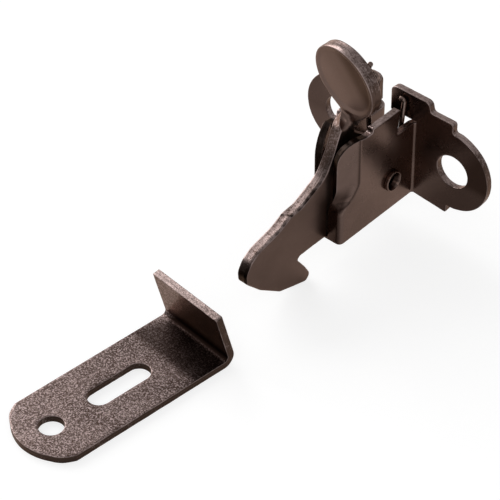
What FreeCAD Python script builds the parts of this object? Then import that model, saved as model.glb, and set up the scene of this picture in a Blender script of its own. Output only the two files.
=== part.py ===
"""Elbow catch: a folded sheet bracket, a stamped hook lever with a twisted thumb disc,
a tubular pivot rivet, a torsion spring and a separate angle strike. Millimetres.

Frame: X points to the right ear, +Y into the door that the bracket is screwed to, +Z up.
The origin is midway between the two screw holes, on the back face of the ears.
Side views are drawn as (forward, height): forward is measured from the front face of the
ears away from the door, height from the straight bottom edge of the bracket.
"""
import FreeCAD, Part
import math
import os

V = FreeCAD.Vector
X_AXIS = V(1, 0, 0)
Y_AXIS = V(0, 1, 0)
Z_AXIS = V(0, 0, 1)

# Bracket: sheet, channel and ears
sheet = 1.3
channel_width = 8.0
channel_depth = 19.25
ear_bend_radius = 0.45
web_outer_radius = 0.9
web_inner_radius = 0.15
hole_height = 8.9
screw_spacing = 24.8
screw_hole_diameter = 6.4
ear_lobe_radius = 7.85
ear_lobe_side = 12.0
ear_lobe_height = 8.95
ear_foot_drop = 0.6
ear_roll_radius = 0.3
ear_height = 20.7
ear_top_reach = 6.9
ear_shelf_height = 18.8
ear_shelf_reach = 12.1
ear_bottom_reach = 11.5
ear_corner_radius = 1.1
ear_step_radius = 0.4
spring_tab_edge = -1.3

# Bracket: side walls, cheeks and the stop across the front
bend_height = 15.2
relief_gap = 0.3
wall_tab_start = 3.95
wall_tab_foot = 4.75
wall_tab_setback = 3.2
wall_tab_height = 20.4
wall_drop = 0.8
cheek_height = 20.0
cheek_setback = 0.65
cheek_run = 4.2
cheek_web_share = 2 / 3
cheek_corner_radius = 4.2
cheek_blend_low = 7.6
cheek_blend_high = 9.6
stop_height = 0.5

# Lever: plate and fits
lever_sheet = 2.1
guide_clearance = 0.18
stop_clearance = 0.2
lever_edge_radius = 0.25
pivot_forward = 5.85
pivot_height = 6.3
pivot_boss_radius = 4.0
pivot_boss_foot = 1.0
boss_to_neck_radius = 3.0
boss_to_arm_radius = 2.0

# Lever: arm and hook, each corner as (back from the nose, height, corner radius)
nose_forward = 39.6
hook_depth = 6.05
nose_and_back = [
    (3.4, -0.3, 6.0),
    (0.1, 3.1, 1.2),
    (0.0, 7.0, 1.8),
    (2.7, 7.5, 3.0),
    (8.4, 9.0, 4.0),
    (11.2, 10.5, 2.0),
    (14.0, 10.9, 3.0),
]
barb_tip_back = 14.7
barb_tip_reach = 1.55
barb_tip_rise = 0.8
barb_tip_radius = 0.9
barb_base_radius = 1.0
barb_heel_back = 11.0
barb_heel_height = -4.75
nub_back = 8.4
nub_height = -4.0
nub_radius = 0.8
hook_mouth_back = 12.8
hook_mouth_drop = 0.5
hook_mouth_run = 0.7
hook_mouth_radius = 0.55
shoulder_reach = 3.6
shoulder_height = 13.6
shoulder_radius = 5.0
neck_foot_reach = 1.3
neck_foot_height = 17.6
neck_foot_radius = 6.0

# Lever: twisted neck and thumb disc
neck_width = 4.65
neck_waist = 0.1
neck_forward = 13.95
neck_base = 20.2
neck_top = 22.7
neck_shift = 0.45
thumb_radius = 7.05
thumb_side = 0.6
thumb_forward = 15.0
thumb_height = 30.75
thumb_lean = 10.0
thumb_turn = 9.0
thumb_edge_radius = 0.3
thumb_dish = 0.2
thumb_dish_share = 0.8
thumb_root_share = 0.45
thumb_root_width = 10.5

# Rivet
rivet_radius = 1.6
rivet_running_fit = 0.05
rivet_head_radius = 3.0
rivet_head_height = 0.9
rivet_head_edge = 0.25
rivet_bore_radius = 1.15
rivet_mouth_radius = 1.65
rivet_rim_radius = 1.95
rivet_rim_height = 0.75

# Torsion spring
wire_diameter = 0.9
coil_turns = 1.5
coil_gap = 0.2
coil_growth = 1.3
coil_lever_gap = 0.08
coil_wall_gap = 0.2
spring_leg_gap = 0.12
leg_bend_radius = 1.6
end_bend_radius = 0.6
fixed_leg_top = 19.4
fixed_leg_nib = 1.0
active_leg_lean = 5.5
active_leg_knee = 24.0
bow = (5.7, 12.6, 33.3)
bow_return = (3.0, 12.2, 32.9)
wire_tip = (4.4, 13.0, 35.3)

# Strike: an angle of thicker sheet that lies in front of the catch
strike_sheet = 1.35
strike_width = 15.8
strike_length = 38.1
strike_bend_radius = 0.8
strike_lip_height = 11.9
strike_lip_lean = 14.5
strike_end_radius = 8.9
strike_hole_diameter = 4.3
strike_hole_inset = 6.0
strike_slot_width = 4.1
strike_slot_length = 12.4
strike_slot_start = 11.8
strike_turn = 6.3
strike_side = -2.5
strike_forward = 46.7

half_width = channel_width / 2
cheek_front = channel_depth - cheek_setback
cheek_start = cheek_front - cheek_run
wall_tab_end = cheek_start - wall_tab_setback
half_lever = lever_sheet / 2
inner_half = half_width - sheet
slot_half = half_lever + guide_clearance
hole_side = screw_spacing / 2

# Numbers of sections and of rounds of reckoning, and the length that counts as nothing
neck_steps = 6
coil_steps = 24
lean_rounds = 8
tiny = 1e-6


def place(x, forward, height):
    """Point of the model from its side, forward and height measures."""
    return V(x, -sheet - forward, height - hole_height)


def side_point(x):
    """Maps a side-view point (forward, height) to the plane at side x."""
    return lambda u, v: place(x, u, v)


def ear_point(forward):
    """Maps a front-view point (side, height) to the plane at a forward distance."""
    return lambda u, v: place(u, forward, v)


def plan_point(height):
    """Maps a plan-view point (side, forward) to the plane at a height."""
    return lambda u, v: place(u, v, height)


def line(start, end):
    return Part.LineSegment(start, end).toShape()


def rounded_wire(corners, to_point):
    """Closed outline through (u, v, radius) corners, each rounded by a tangent arc."""
    edges = []
    runs = []
    count = len(corners)
    for i in range(count):
        u, v, radius = corners[i]
        pu, pv, _ = corners[i - 1]
        nu, nv, _ = corners[(i + 1) % count]
        back = math.hypot(pu - u, pv - v)
        ahead = math.hypot(nu - u, nv - v)
        bu, bv = (pu - u) / back, (pv - v) / back
        au, av = (nu - u) / ahead, (nv - v) / ahead
        cosine = max(-1.0, min(1.0, bu * au + bv * av))
        half = math.acos(cosine) / 2
        if radius <= 0 or half > math.radians(89.5):
            runs.append(((u, v), None, (u, v)))
            continue
        reach = min(radius / math.tan(half), 0.49 * back, 0.49 * ahead)
        true_radius = reach * math.tan(half)
        mu, mv = bu + au, bv + av
        norm = math.hypot(mu, mv)
        depth = true_radius / math.sin(half) - true_radius
        start = (u + bu * reach, v + bv * reach)
        middle = (u + mu / norm * depth, v + mv / norm * depth)
        end = (u + au * reach, v + av * reach)
        runs.append((start, middle, end))
    for i in range(count):
        start, middle, end = runs[i]
        if middle is not None:
            edges.append(Part.Arc(to_point(*start), to_point(*middle), to_point(*end)).toShape())
        following = runs[(i + 1) % count][0]
        if math.hypot(following[0] - end[0], following[1] - end[1]) > tiny:
            edges.append(line(to_point(*end), to_point(*following)))
    return Part.Wire(edges)


def prism(corners, to_point, travel):
    """Solid of a rounded outline moved along a vector."""
    return Part.Face(rounded_wire(corners, to_point)).extrude(travel)


def mirrored(shape):
    """The same shape on the other side of the mid plane."""
    return shape.mirror(V(0, 0, 0), X_AXIS)


def cylinder(radius, start, direction, length):
    return Part.makeCylinder(radius, length, start, direction)


def ear_plate(top_edge):
    """One ear on the right: straight inner part, two steps and a round lobe."""
    foot = half_width + ear_bend_radius
    tab_low = bend_height + relief_gap
    corners = [
        (foot, 0, 0),
        (ear_bottom_reach, -ear_foot_drop, ear_step_radius),
        (ear_bottom_reach, hole_height, 0),
        (ear_shelf_reach, hole_height, 0),
        (ear_shelf_reach, ear_shelf_height, ear_step_radius),
        (ear_top_reach + ear_step_radius, ear_shelf_height, ear_step_radius),
        (ear_top_reach, ear_height, ear_corner_radius),
        (top_edge, ear_height, ear_corner_radius),
        (top_edge, tab_low, 0),
        (foot, tab_low, 0),
    ]
    travel = Y_AXIS * sheet
    plate = prism(corners, ear_point(0), travel)
    lobe = cylinder(ear_lobe_radius, place(ear_lobe_side, 0, ear_lobe_height), Y_AXIS, sheet)
    return roll_over(plate.fuse(lobe).removeSplitter(), foot)


def roll_over(ear, foot):
    """Rounds the outer edges of an ear's back face, as the press leaves them."""
    chosen = []
    for edge in ear.Edges:
        box = edge.BoundBox
        on_back = box.YMin > -tiny
        if on_back and box.XMax > foot + tiny and box.ZMin > -hole_height - ear_foot_drop - tiny:
            chosen.append(edge)
    return ear.makeFillet(ear_roll_radius, chosen)


def wall_section(front):
    """Plan of one side wall with its ear bend, from the ear stub to a forward limit."""
    foot = half_width + ear_bend_radius
    return [
        (foot, 0, 0),
        (half_width, 0, ear_bend_radius),
        (half_width, front, 0),
        (inner_half, front, 0),
        (inner_half, -sheet, ear_bend_radius + sheet),
        (foot, -sheet, 0),
    ]


def chain_wire(pieces, height):
    """Closed wire at a height from plan pieces of two (line) or three (arc) points."""
    to_point = plan_point(height)
    edges = []
    for piece in pieces:
        points = [to_point(*p) for p in piece]
        if len(points) == 3:
            edges.append(Part.Arc(*points).toShape())
        else:
            edges.append(line(*points))
    return Part.Wire(edges)


def corner_arc(side, forward, radius):
    """Three plan points of a quarter bend whose flat sides meet at (side, forward)."""
    inset = radius * (1 - math.sqrt(0.5))
    return [(side, forward - radius), (side - inset, forward - inset), (side - radius, forward)]


def web_corner(height, rear):
    """Plan of the wall's front as it turns into the web, up to the lever slot."""
    back = channel_depth - sheet
    outer = corner_arc(half_width, channel_depth, web_outer_radius)
    inner = corner_arc(inner_half, back, web_inner_radius)
    inner.reverse()
    chain = [
        [(half_width, rear), outer[0]],
        outer,
        [outer[2], (slot_half, channel_depth)],
        [(slot_half, channel_depth), (slot_half, back)],
        [(slot_half, back), inner[0]],
        inner,
        [inner[2], (inner_half, rear)],
        [(inner_half, rear), (half_width, rear)],
    ]
    return chain_wire(chain, height)


def cheek_lean():
    """Angle at which a cheek leans in until its inner front corner guides the lever."""
    angle = 0
    for _ in range(lean_rounds):
        inward = half_width - slot_half - sheet * math.cos(angle)
        angle = math.atan2(inward, cheek_run)
    return angle


def between(start, end, share):
    """Point of a plan line at a share of its length."""
    return (start[0] + share * (end[0] - start[0]), start[1] + share * (end[1] - start[1]))


def cheek_corner(height, rear):
    """Plan of the same front above the blend: the wall creases and leans inwards."""
    angle = cheek_lean()
    outer = (slot_half + sheet * math.cos(angle), cheek_front)
    inner = (slot_half, cheek_front - sheet * math.sin(angle))
    crease_out = (half_width, cheek_start)
    crease_in = (inner_half, cheek_start - sheet * math.tan(angle / 2))
    corners = [
        (half_width, rear),
        crease_out,
        between(crease_out, outer, cheek_web_share),
        outer,
        inner,
        between(crease_in, inner, cheek_web_share),
        crease_in,
        (inner_half, rear),
    ]
    chain = [[corners[i - 1], corners[i]] for i in range(1, len(corners))]
    chain.append([corners[-1], corners[0]])
    return chain_wire(chain, height)


def side_wall():
    """Right wall: rear part, web corner, blend and leaning cheek, cut to its side outline."""
    rear = cheek_start - sheet
    top = wall_tab_height
    body = prism(wall_section(rear), plan_point(0), Z_AXIS * top)
    low = Part.Face(web_corner(0, rear)).extrude(Z_AXIS * cheek_blend_low)
    low_wire = web_corner(cheek_blend_low, rear)
    high_wire = cheek_corner(cheek_blend_high, rear)
    blend = Part.makeLoft([low_wire, high_wire], True, True)
    high = Part.Face(high_wire).extrude(Z_AXIS * (top - cheek_blend_high))
    wall = body.fuse([low, blend, high])
    front = channel_depth + sheet
    drop_end = wall_tab_end + wall_drop
    corners = [
        (-2 * sheet, 0, 0),
        (front, 0, 0),
        (front, cheek_blend_high, 0),
        (cheek_front, cheek_blend_high, 0),
        (cheek_front, cheek_height, cheek_corner_radius),
        (cheek_start, cheek_height, 0),
        (drop_end, wall_tab_height - wall_drop, wall_drop / 2),
        (wall_tab_end, wall_tab_height - wall_drop, wall_drop / 2),
        (wall_tab_end, wall_tab_height, wall_drop / 2),
        (wall_tab_start, wall_tab_height, ear_step_radius),
        (wall_tab_foot, bend_height, relief_gap),
        (-2 * sheet, bend_height, 0),
    ]
    outline = prism(corners, side_point(0), X_AXIS * (2 * half_width))
    return wall.common(outline)


def bracket():
    """One folded sheet: two ears, two walls with cheeks, and the stop web across the front."""
    wall = side_wall()
    right = wall.fuse(ear_plate(spring_tab_edge))
    left = mirrored(wall.fuse(ear_plate(half_width)))
    web = Part.makeBox(2 * slot_half, sheet, stop_height, place(-slot_half, channel_depth, 0))
    shape = right.fuse([left, web])
    for side in (-1, 1):
        start = place(side * hole_side, sheet, hole_height)
        hole = cylinder(screw_hole_diameter / 2, start, Y_AXIS, 3 * sheet)
        shape = shape.cut(hole)
    bore_start = place(-channel_width, pivot_forward, pivot_height)
    bore = cylinder(rivet_radius, bore_start, X_AXIS, 2 * channel_width)
    return shape.cut(bore).removeSplitter()


def hook_outline():
    """Side outline of the flat lever: arm, blunt nose, hook barb, pivot boss and neck foot."""
    arm_low = stop_height + stop_clearance
    neck_front = neck_forward + neck_width / 2
    neck_rear = neck_forward - neck_width / 2
    boss_rear = pivot_forward - pivot_boss_radius
    boss_low = pivot_height - pivot_boss_radius
    nose = nose_forward
    corners = [
        (neck_rear, neck_base, 0),
        (boss_rear, pivot_height + pivot_boss_radius, boss_to_neck_radius),
        (boss_rear, boss_low, pivot_boss_radius),
        (pivot_forward + pivot_boss_foot, boss_low, boss_to_arm_radius),
        (pivot_forward + pivot_boss_radius, arm_low, boss_to_arm_radius),
        (nose - hook_mouth_back - hook_mouth_run, arm_low, hook_mouth_radius),
        (nose - hook_mouth_back, arm_low - hook_mouth_drop, hook_mouth_radius),
        (nose - barb_tip_back - barb_tip_reach, -hook_depth + barb_tip_rise, barb_tip_radius),
        (nose - barb_tip_back, -hook_depth, barb_base_radius),
        (nose - barb_heel_back, barb_heel_height, barb_base_radius),
        (nose - nub_back, nub_height, nub_radius),
    ]
    for back, height, radius in nose_and_back:
        corners.append((nose - back, height, radius))
    corners.append((neck_front + shoulder_reach, shoulder_height, shoulder_radius))
    corners.append((neck_front + neck_foot_reach, neck_foot_height, neck_foot_radius))
    corners.append((neck_front, neck_base, 0))
    return corners


def turned_section(side, forward, height, turn, width, half_thick):
    """Level rectangle of the neck, turned about the vertical."""
    along = (-math.sin(turn) * width / 2, math.cos(turn) * width / 2)
    across = (math.cos(turn) * half_thick, math.sin(turn) * half_thick)
    points = []
    for a, b in ((-1, -1), (1, -1), (1, 1), (-1, 1), (-1, -1)):
        u = side + a * along[0] + b * across[0]
        f = forward + a * along[1] + b * across[1]
        points.append(place(u, f, height))
    return Part.makePolygon(points)


def neck_section(share):
    """Section of the neck: it turns and drifts aside as its share of the height goes to 1."""
    height = neck_base + share * (neck_top - neck_base)
    ease = share * share * (3 - 2 * share)
    turn = math.radians(90 + thumb_turn) * ease
    lean = math.tan(math.radians(thumb_lean))
    thumb_middle = thumb_forward - half_lever - lean * (thumb_height - neck_top)
    forward = neck_forward + (thumb_middle - neck_forward) * ease
    width = neck_width * (1 - neck_waist * math.sin(math.pi * share))
    return turned_section(neck_shift * ease, forward, height, turn, width, half_lever)


def thumb_root_section():
    """Wider section inside the disc where the neck runs into it."""
    turn = math.radians(90 + thumb_turn)
    height = thumb_height - thumb_root_share * thumb_radius
    lean = math.tan(math.radians(thumb_lean))
    forward = thumb_forward - half_lever - lean * (thumb_height - height)
    thick = half_lever - thumb_dish
    return turned_section(thumb_side, forward, height, turn, thumb_root_width, thick)


def thumb_disc():
    """Round disc with a slightly dished front, turned on its axis and leaning forward.

    The dish is a shallow bowl with a nearly flat middle.
    """
    r = thumb_radius
    e = thumb_edge_radius
    t = lever_sheet
    s = math.sqrt(0.5)
    rim = r - e
    bowl = t - thumb_dish * thumb_dish_share
    front = [
        line(V(0, 0, 0), V(rim, 0, 0)),
        Part.Arc(V(rim, 0, 0), V(rim + e * s, 0, e - e * s), V(r, 0, e)).toShape(),
        line(V(r, 0, e), V(r, 0, t - e)),
        Part.Arc(V(r, 0, t - e), V(rim + e * s, 0, t - e + e * s), V(rim, 0, t)).toShape(),
        Part.Arc(V(rim, 0, t), V(r / 2, 0, bowl), V(0, 0, t - thumb_dish)).toShape(),
        line(V(0, 0, t - thumb_dish), V(0, 0, 0)),
    ]
    disc = Part.Face(Part.Wire(front)).revolve(V(0, 0, 0), Z_AXIS, 360)
    disc.translate(V(0, 0, -t))
    disc.rotate(V(0, 0, 0), X_AXIS, 90 + thumb_lean)
    disc.rotate(V(0, 0, 0), Z_AXIS, -thumb_turn)
    disc.translate(place(thumb_side, thumb_forward, thumb_height))
    return disc


def lever():
    """Stamped plate with the hook, its neck twisted so that the thumb disc faces forward."""
    plate = prism(hook_outline(), side_point(-half_lever), X_AXIS * lever_sheet)
    plate = soften_plate(plate)
    neck = Part.makeLoft([neck_section(k / neck_steps) for k in range(neck_steps + 1)], True, False)
    root = Part.makeLoft([neck_section(1), thumb_root_section()], True, True)
    shape = plate.fuse([neck, root, thumb_disc()])
    bore_radius = rivet_radius + rivet_running_fit
    bore = cylinder(bore_radius, place(-lever_sheet, pivot_forward, pivot_height), X_AXIS, 2 * lever_sheet)
    return shape.cut(bore).removeSplitter()


def soften_plate(plate):
    """Rounds the plate's long edges below the neck, as tumbling leaves them."""
    limit = place(0, 0, neck_base).z - lever_edge_radius
    chosen = []
    for edge in plate.Edges:
        box = edge.BoundBox
        flat = box.XLength < tiny
        if flat and box.ZMax < limit:
            chosen.append(edge)
    return plate.makeFillet(lever_edge_radius, chosen)


def rivet():
    """Semi-tubular rivet along X: domed head on the left, rolled hollow rim on the right."""
    hw = half_width
    tip = hw + rivet_rim_height
    lip = (rivet_rim_radius - rivet_mouth_radius) / 2
    head_face = -hw - rivet_head_height
    head_edge = -hw - rivet_head_edge
    dome_depth = rivet_head_height - rivet_head_edge
    dome_radius = (rivet_head_radius ** 2 + dome_depth ** 2) / (2 * dome_depth)
    half_span = rivet_head_radius / 2
    dome_mid = head_face + dome_radius - math.sqrt(dome_radius ** 2 - half_span ** 2)
    flare = Part.Arc(
        V(tip - lip, rivet_mouth_radius, 0),
        V(hw + rivet_rim_height / 3, (rivet_mouth_radius + rivet_bore_radius) / 2, 0),
        V(hw, rivet_bore_radius, 0),
    )
    roll = Part.Arc(
        V(tip - lip, rivet_rim_radius, 0),
        V(tip, rivet_rim_radius - lip, 0),
        V(tip - lip, rivet_mouth_radius, 0),
    )
    dome = Part.Arc(V(head_face, 0, 0), V(dome_mid, half_span, 0), V(head_edge, rivet_head_radius, 0))
    blind_end = V(-inner_half, rivet_bore_radius, 0)
    drill_tip = V(-inner_half - rivet_bore_radius / 2, 0, 0)
    edges = [
        dome.toShape(),
        line(V(head_edge, rivet_head_radius, 0), V(-hw, rivet_head_radius, 0)),
        line(V(-hw, rivet_head_radius, 0), V(-hw, rivet_radius, 0)),
        line(V(-hw, rivet_radius, 0), V(hw, rivet_radius, 0)),
        line(V(hw, rivet_radius, 0), V(hw, rivet_rim_radius, 0)),
        line(V(hw, rivet_rim_radius, 0), V(tip - lip, rivet_rim_radius, 0)),
        roll.toShape(),
        flare.toShape(),
        line(V(hw, rivet_bore_radius, 0), blind_end),
        line(blind_end, drill_tip),
        line(drill_tip, V(head_face, 0, 0)),
    ]
    solid = Part.Face(Part.Wire(edges)).revolve(V(0, 0, 0), X_AXIS, 360)
    solid.translate(place(0, pivot_forward, pivot_height))
    return solid


def fixed_leg_lean():
    """Lean of the straight leg that runs from the outer turn to the front of the ear tab."""
    back = pivot_forward - wire_diameter / 2 - spring_leg_gap
    rise = fixed_leg_top - pivot_height
    radius = rivet_radius + coil_gap + wire_diameter / 2 + coil_growth
    return math.atan2(back, rise) - math.asin(radius / math.hypot(back, rise))


def coil_point(share):
    """Point of the coil's centre line: from its wide outer turn to the turn beside the lever."""
    wire = wire_diameter / 2
    near = half_lever + coil_lever_gap + wire
    far = inner_half - coil_wall_gap - wire
    ease = share * share * (3 - 2 * share)
    radius = rivet_radius + coil_gap + wire + coil_growth * (1 - ease)
    start = math.pi + fixed_leg_lean()
    end = math.pi + 2 * math.pi * coil_turns - math.radians(active_leg_lean)
    angle = start + (end - start) * share
    forward = pivot_forward + radius * math.cos(angle)
    height = pivot_height + radius * math.sin(angle)
    return place(far + (near - far) * ease, forward, height)


def bent_edges(points, radii):
    """Straight pieces through the points, joined by a bend of its own radius at each corner."""
    edges = []
    start = points[0]
    for i in range(1, len(points) - 1):
        radius = radii[i - 1]
        corner = points[i]
        back = (points[i - 1] - corner).normalize()
        ahead = (points[i + 1] - corner).normalize()
        half = back.getAngle(ahead) / 2
        reach = radius / math.tan(half)
        inward = (back + ahead).normalize() * (radius / math.sin(half) - radius)
        end = corner + ahead * reach
        edges.append(line(start, corner + back * reach))
        edges.append(Part.Arc(corner + back * reach, corner + inward, end).toShape())
        start = end
    edges.append(line(start, points[-1]))
    return edges


def spring():
    """Torsion spring: one leg leans on the ear tab, the other ends in a hook behind the disc."""
    wire = wire_diameter / 2
    start = coil_point(0)
    end = coil_point(1)
    fixed_lean = fixed_leg_lean()
    active_lean = math.radians(active_leg_lean)
    fixed_rise = V(0, math.sin(fixed_lean), math.cos(fixed_lean))
    active_rise = V(0, -math.sin(active_lean), math.cos(active_lean))
    seat_y = place(0, wire + spring_leg_gap, 0).y
    fixed_top = start + fixed_rise * ((seat_y - start.y) / fixed_rise.y)
    fixed_end = fixed_top - X_AXIS * fixed_leg_nib
    knee_z = place(0, 0, active_leg_knee).z
    active_knee = end + active_rise * ((knee_z - end.z) / active_rise.z)
    coil_points = [coil_point(k / coil_steps) for k in range(coil_steps + 1)]
    travelled = [0]
    for k in range(coil_steps):
        travelled.append(travelled[k] + coil_points[k].distanceToPoint(coil_points[k + 1]))
    coil = Part.BSplineCurve()
    coil.interpolate(
        Points=coil_points,
        Parameters=travelled,
        InitialTangent=fixed_rise * -1,
        FinalTangent=active_rise,
        Scale=False,
    )
    edges = bent_edges([fixed_end, fixed_top, start], [end_bend_radius])
    edges.append(coil.toShape())
    active = [end, active_knee, place(*bow), place(*bow_return), place(*wire_tip)]
    edges += bent_edges(active, [leg_bend_radius, end_bend_radius, end_bend_radius])
    path = Part.Wire(edges)
    section = Part.Wire(Part.makeCircle(wire, fixed_end, X_AXIS))
    return path.makePipeShell([section], True, False)


def strike_frame(shape):
    """Turns the strike about the vertical and sets it on the level of the hook's lowest point."""
    shape.rotate(V(0, 0, 0), Z_AXIS, -strike_turn)
    shape.translate(place(strike_side, strike_forward, -hook_depth))
    return shape


def strike():
    """Angle strike: flat plate with a hole and a slot, and a lip bent back over the plate."""
    lean = math.radians(strike_lip_lean)
    outer = strike_bend_radius + strike_sheet
    under = -strike_sheet
    rise = strike_lip_height - outer - outer * math.sin(lean)
    length = rise / math.cos(lean)
    tangent_s = outer - outer * math.cos(lean)
    tangent_z = outer + outer * math.sin(lean)
    half_turn = (math.pi / 2 + lean) / 2
    knee_s = outer - outer * math.sin(half_turn)
    knee_z = outer - outer * math.cos(half_turn)
    top_s = tangent_s + length * math.sin(lean)
    top_z = tangent_z + length * math.cos(lean)
    thick_s = strike_sheet * math.cos(lean)
    thick_z = -strike_sheet * math.sin(lean)
    inner = strike_bend_radius
    knee_in_s = outer - inner * math.sin(half_turn)
    knee_in_z = outer - inner * math.cos(half_turn)

    def at(s, z):
        return V(0, -s, z)

    foot = at(outer, 0)
    tangent = at(tangent_s, tangent_z)
    top = at(top_s, top_z)
    top_in = at(top_s + thick_s, top_z + thick_z)
    tangent_in = at(tangent_s + thick_s, tangent_z + thick_z)
    foot_in = at(outer, strike_sheet)
    edges = [
        line(at(strike_length, 0), foot),
        Part.Arc(foot, at(knee_s, knee_z), tangent).toShape(),
        line(tangent, top),
        line(top, top_in),
        line(top_in, tangent_in),
        Part.Arc(tangent_in, at(knee_in_s, knee_in_z), foot_in).toShape(),
        line(foot_in, at(strike_length, strike_sheet)),
        line(at(strike_length, strike_sheet), at(strike_length, 0)),
    ]
    band = Part.Face(Part.Wire(edges)).extrude(X_AXIS * strike_width)
    band.translate(X_AXIS * (-strike_width / 2))
    end_centre = strike_length - strike_end_radius
    end_disc = cylinder(strike_end_radius, at(end_centre, under), Z_AXIS, strike_lip_height - 2 * under)
    corner_s = end_centre + math.sqrt(strike_end_radius ** 2 - (strike_width / 2) ** 2)
    box_back = at(corner_s, under) + X_AXIS * (-strike_width)
    keep = Part.makeBox(2 * strike_width, corner_s + strike_width, strike_lip_height - 2 * under, box_back)
    band = band.common(keep.fuse(end_disc))
    hole_at = at(strike_length - strike_hole_inset, under)
    hole = cylinder(strike_hole_diameter / 2, hole_at, Z_AXIS, 3 * strike_sheet)
    slot_r = strike_slot_width / 2
    slot_parts = []
    slot_ends = (strike_slot_start + slot_r, strike_slot_start + strike_slot_length - slot_r)
    for s in slot_ends:
        slot_parts.append(cylinder(slot_r, at(s, under), Z_AXIS, 3 * strike_sheet))
    slot_box = Part.makeBox(
        strike_slot_width,
        slot_ends[1] - slot_ends[0],
        3 * strike_sheet,
        at(slot_ends[1], under) + X_AXIS * (-slot_r),
    )
    slot = slot_box.fuse(slot_parts)
    return strike_frame(band.cut(hole).cut(slot).removeSplitter())


def main():
    os.makedirs("parts", exist_ok=True)
    nodes = {
        "bracket": bracket(),
        "lever": lever(),
        "pivot_rivet": rivet(),
        "torsion_spring": spring(),
        "strike": strike(),
    }
    for name, shape in nodes.items():
        shape.exportStep("parts/" + name + ".step")
        box = shape.BoundBox
        print(name, "solids", len(shape.Solids), "valid", shape.isValid(), "volume", round(shape.Volume, 2),
              "x", round(box.XMin, 2), round(box.XMax, 2),
              "y", round(box.YMin, 2), round(box.YMax, 2),
              "z", round(box.ZMin, 2), round(box.ZMax, 2))


main()
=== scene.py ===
"""Elbow catch in dark rubbed bronze: folded bracket, stamped and twisted hook lever, tubular
rivet, torsion spring and angle strike.

Every sheet piece is made as the press makes it: an outline is cut flat with worn, slightly
broken edges, and a fold function then bends or twists the flat blank into its place. Measures
are in millimetres as (side, forward, height): forward runs from the front face of the ears
away from the door, height from the bracket's bottom edge.
"""
import math

import bpy
import numpy as np
from mathutils import Matrix, Vector
from mathutils.geometry import delaunay_2d_cdt


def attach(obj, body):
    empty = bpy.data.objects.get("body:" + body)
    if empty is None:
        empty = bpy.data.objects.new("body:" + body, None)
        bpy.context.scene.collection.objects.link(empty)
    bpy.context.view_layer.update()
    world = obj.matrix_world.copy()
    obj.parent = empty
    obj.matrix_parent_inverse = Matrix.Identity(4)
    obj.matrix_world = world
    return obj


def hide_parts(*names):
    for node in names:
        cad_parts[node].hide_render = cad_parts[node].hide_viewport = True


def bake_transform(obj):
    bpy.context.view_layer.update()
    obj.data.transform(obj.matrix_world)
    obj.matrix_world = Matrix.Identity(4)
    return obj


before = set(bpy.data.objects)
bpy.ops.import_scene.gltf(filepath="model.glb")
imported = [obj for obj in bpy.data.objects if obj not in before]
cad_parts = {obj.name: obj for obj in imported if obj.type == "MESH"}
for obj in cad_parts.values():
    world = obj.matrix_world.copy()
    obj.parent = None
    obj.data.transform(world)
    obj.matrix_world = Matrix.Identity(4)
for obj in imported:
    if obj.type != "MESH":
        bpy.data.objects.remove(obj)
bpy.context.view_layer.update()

# Bracket
SHEET = 1.3
HALF_WIDTH = 4.0
CHANNEL_DEPTH = 19.25
EAR_BEND = 0.45
WEB_OUTER = 0.9
WEB_INNER = 0.15
HOLE_HEIGHT = 8.9
HOLE_SIDE = 12.4
HOLE_RADIUS = 3.2
BEND_TOP = 15.2
RELIEF = 0.3
CHEEK_START = 14.4
CHEEK_FRONT = 18.6
CHEEK_HEIGHT = 20.0
CHEEK_ROUND = 4.15
BLEND_LOW = 7.6
BLEND_HIGH = 9.6
STOP_HEIGHT = 0.5
STOP_GAP = 0.2
EAR_LOBE = (12.0, 8.95, 7.85)
EAR_TOP = (6.9, 20.7)
EAR_SHELF = (12.1, 18.8)
EAR_BOTTOM = (11.5, -0.6)
WALL_TAB = (3.95, 11.2, 20.4)
WALL_TAB_FOOT = 4.75
TAB_SQUEEZE = 1.25
BRACKET_ARRIS = 0.12

# Lever
LEVER_SHEET = 2.1
SLOT_HALF = LEVER_SHEET / 2 + 0.18
PIVOT = (5.85, 6.3)
NOSE = 39.6
HOOK_DEPTH = 6.05
NECK_WIDTH = 4.65
NECK_FORWARD = 13.95
NECK_BASE = 20.2
NECK_TOP = 22.7
NECK_SHIFT = 0.45
TWIST_TOP = 23.4
TWIST_SLANT = 0.6
THUMB_RADIUS = 7.05
THUMB_SIDE = 0.6
THUMB_FORWARD = 15.0
THUMB_HEIGHT = 30.75
THUMB_LEAN = math.radians(10.0)
THUMB_TURN = math.radians(99.0)
THUMB_DISH = 0.34
THUMB_DENT = (-0.6, 23.6)
LEVER_ARRIS = 0.18
RUNNING_FIT = 0.05

# Rivet and spring
RIVET_RADIUS = 1.6
RIVET_BORE = 1.15
RIVET_RIM = (1.95, 0.75)
RIVET_HEAD = (3.0, 0.9)
RIVET_SIDES = 72
WIRE = 0.45
COIL_GAP = 0.2
COIL_GROWTH = 1.3
LEVER_GAP = 0.08
TAB_GAP = 0.12
FIXED_LEG_TOP = 19.4
FIXED_LEG_NIB = 1.0
ACTIVE_LEG_KNEE = 24.0
ACTIVE_LEG_LEAN = math.radians(5.5)
WIRE_HOOK = [(5.7, 12.6, 33.3), (3.0, 12.2, 32.9), (4.4, 13.0, 35.3)]

# Strike
STRIKE_SHEET = 1.35
STRIKE_WIDTH = 15.8
STRIKE_LENGTH = 38.1
STRIKE_BEND = 0.8
STRIKE_LIP = 11.9
STRIKE_LEAN = math.radians(14.5)
STRIKE_TURN = math.radians(-6.3)
STRIKE_PLACE = (-2.5, 46.7)
STRIKE_END_RADIUS = 8.9
STRIKE_HOLE = (6.0, 2.15)
STRIKE_SLOT = (4.1, 11.8, 24.2, 2.04)
STRIKE_ARRIS = 0.12

# Sheared edges: the smooth band's share of the sheet, and how deep the torn band lies
BURNISHED_SHARE = 0.35
TORN_DEPTH = 0.04

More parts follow.
